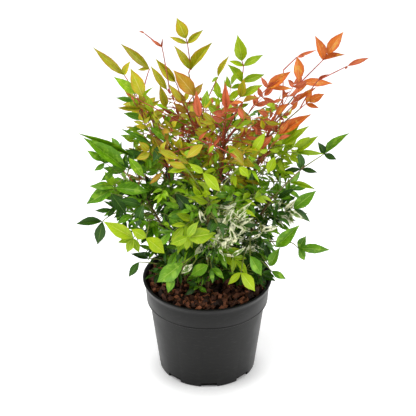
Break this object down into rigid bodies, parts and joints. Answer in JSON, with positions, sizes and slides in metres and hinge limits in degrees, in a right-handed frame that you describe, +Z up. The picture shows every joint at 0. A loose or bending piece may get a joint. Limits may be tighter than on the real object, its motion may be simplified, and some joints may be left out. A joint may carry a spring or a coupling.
{
  "type": "potted heavenly bamboo shrub",
  "caption": "Bushy evergreen shrub with slender canes and sprays of pointed leaflets, in a round tapered nursery pot filled with compost and bark.",
  "frame": {"origin": "centre of the pot's flat underside, on the surface that the pot stands on", "axes": "+Z up the pot's axis; -Y towards the plant's front, the side with the low sprays that hang over the rim; +X towards the long orange sprays"},
  "size_m": [0.4089, 0.3079, 0.5276],
  "materials": {
    "pot": "injection-moulded recycled polypropylene, charcoal, satin",
    "compost": "moist potting compost under a mulch of red-brown bark chips",
    "cane": "thin ridged bark, brown with old leaf bases",
    "bough": "young red-brown leaf stalk, smooth",
    "leaf_dark": "old leaflets, dark green, glossy",
    "leaf_green": "grown leaflets, mid green, glossy",
    "leaf_fresh": "this year's leaflets, bright green, glossy",
    "leaf_lime": "new leaflets, yellow-green, satin",
    "leaf_gold": "new leaflets, gold-green with warm edges, satin",
    "leaf_olive": "new leaflets, olive-gold, satin",
    "leaf_bronze": "young leaflets turning bronze, satin",
    "leaf_orange": "young leaflets, orange, satin",
    "leaf_coral": "youngest leaflets and shoots, coral red, satin",
    "leaf_cream": "variegated leaflets, cream and green, satin"
  },
  "bodies": {
    "root": {"pot": "pot", "compost": "compost", "cane_back": "cane", "cane_middle": "cane", "cane_right": "cane", "cane_left": "cane", "cane_low_left": "cane", "cane_low_right": "cane", "cane_front": "cane", "cane_rear": "cane", "bough_top_gold": "bough", "bough_orange_high": "bough", "bough_orange_far": "bough", "bough_right_dark": "bough", "bough_left_dark_far": "bough", "bough_right_triple": "bough", "foliage_top_gold": "leaf_gold", "foliage_top_lime": "leaf_lime", "foliage_top_olive_left": "leaf_olive", "foliage_top_olive_back": "leaf_olive", "foliage_top_gold_left": "leaf_gold", "foliage_top_gold_middle": "leaf_gold", "foliage_top_bronze": "leaf_bronze", "foliage_red_shoot": "leaf_coral", "foliage_orange_high": "leaf_orange", "foliage_orange_far": "leaf_orange", "foliage_orange_arch": "leaf_coral", "foliage_coral_right": "leaf_coral", "foliage_coral_middle": "leaf_coral", "foliage_left_fresh": "leaf_fresh", "foliage_left_bronze": "leaf_bronze", "foliage_left_big_green": "leaf_green", "foliage_right_orange_green": "leaf_lime", "foliage_right_lime": "leaf_lime", "foliage_right_dark": "leaf_dark", "foliage_front_lime": "leaf_lime", "foliage_front_gold_right": "leaf_gold", "foliage_front_gold_left": "leaf_gold", "foliage_left_green": "leaf_green", "foliage_left_dark_far": "leaf_dark", "foliage_left_lime_front": "leaf_lime", "foliage_inner_left": "leaf_green", "foliage_left_dark_low": "leaf_dark", "foliage_inner_right": "leaf_green", "foliage_right_green": "leaf_green", "foliage_right_cream": "leaf_cream", "foliage_right_triple": "leaf_green", "foliage_right_low": "leaf_green", "foliage_front_cream": "leaf_cream", "foliage_front_cream_low": "leaf_cream", "foliage_front_lime_low": "leaf_lime", "foliage_front_green_low": "leaf_green", "foliage_front_lime_left": "leaf_lime", "foliage_back_left_low": "leaf_green", "foliage_back_left": "leaf_fresh", "foliage_back_low": "leaf_dark", "foliage_back_inner": "leaf_green", "foliage_back_middle": "leaf_lime", "foliage_back_right_low": "leaf_dark", "foliage_back_right": "leaf_green"}
  },
  "joints": []
}
